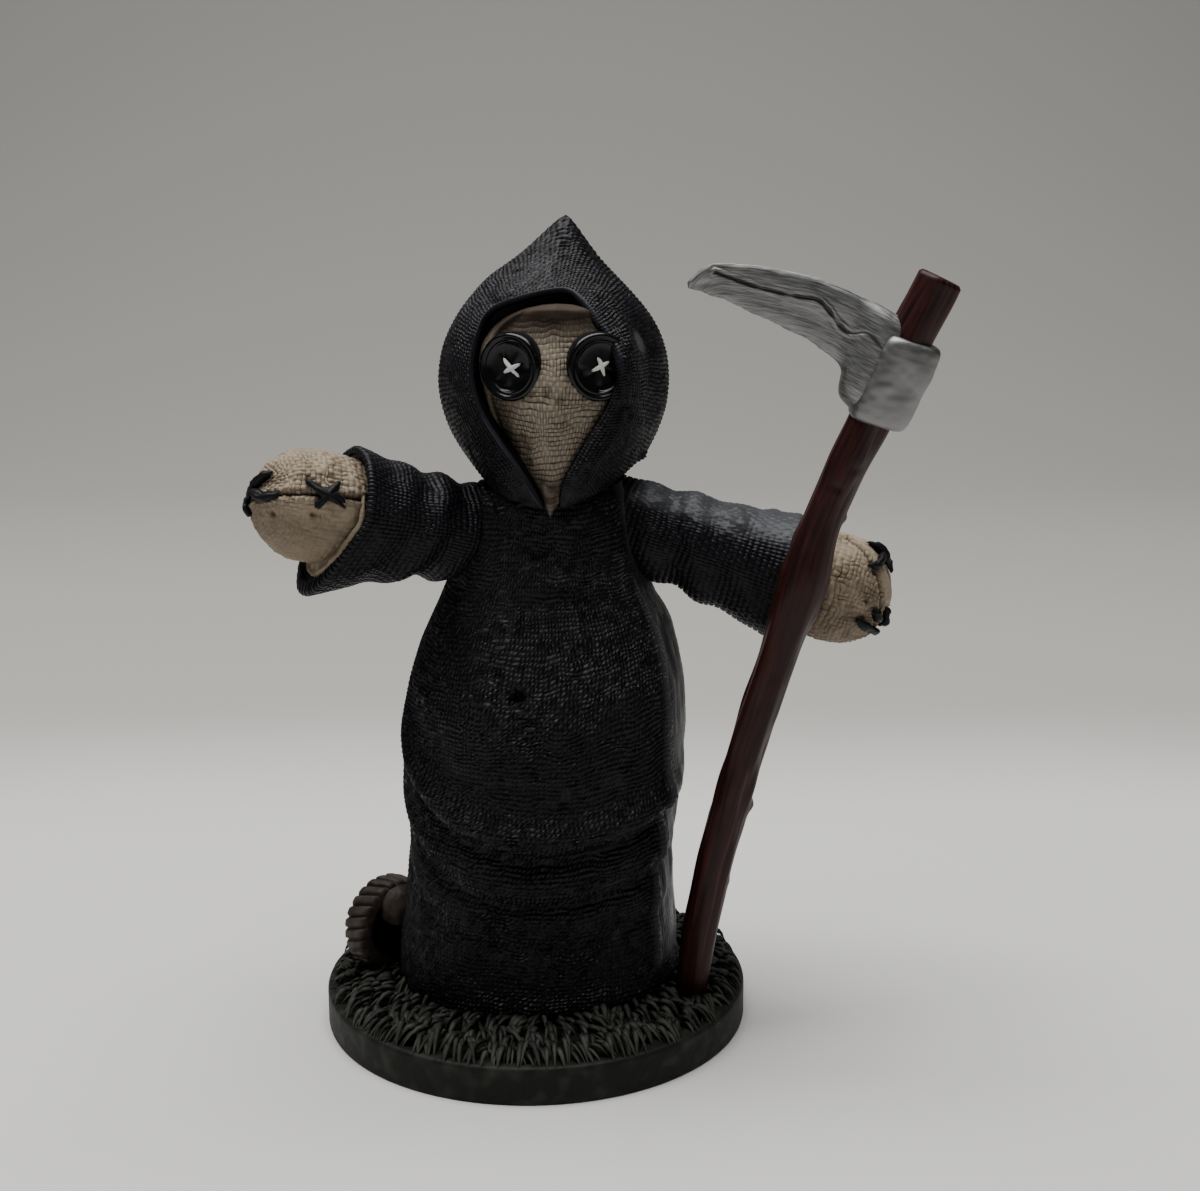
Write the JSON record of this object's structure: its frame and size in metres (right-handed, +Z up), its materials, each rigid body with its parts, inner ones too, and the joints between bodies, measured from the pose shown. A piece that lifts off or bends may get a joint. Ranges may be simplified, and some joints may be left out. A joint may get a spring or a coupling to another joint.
{
  "type": "grim reaper figurine",
  "caption": "Cast resin grim reaper doll in a hooded sackcloth robe, with a beaked mask, button eyes and stub hands, holding a scythe on a round grassy base.",
  "frame": {"origin": "middle of the round base's underside", "axes": "+Z up, the figure faces -Y, +X towards the hand that holds the scythe"},
  "size_m": [0.0914, 0.061, 0.1143],
  "materials": {
    "black_cloth_paint": "satin black paint over a moulded coarse weave, worn grey on the threads' tops",
    "brown_wood_paint": "satin dark brown paint over carved wood grain",
    "silver_paint": "metallic silver paint with fine brushed lines",
    "tan_sacking_paint": "matt khaki paint with a brown wash in the weave",
    "cream_sacking_paint": "matt cream paint with a brown wash in the creases",
    "black_button_paint": "gloss black paint",
    "white_thread_paint": "matt off-white paint",
    "black_thread_paint": "satin black paint",
    "olive_grass_paint": "matt dark olive grey paint",
    "grey_brown_paint": "matt grey brown paint with a dark wash"
  },
  "bodies": {
    "root": {"figure": "black_cloth_paint", "scythe": "brown_wood_paint"}
  },
  "joints": []
}
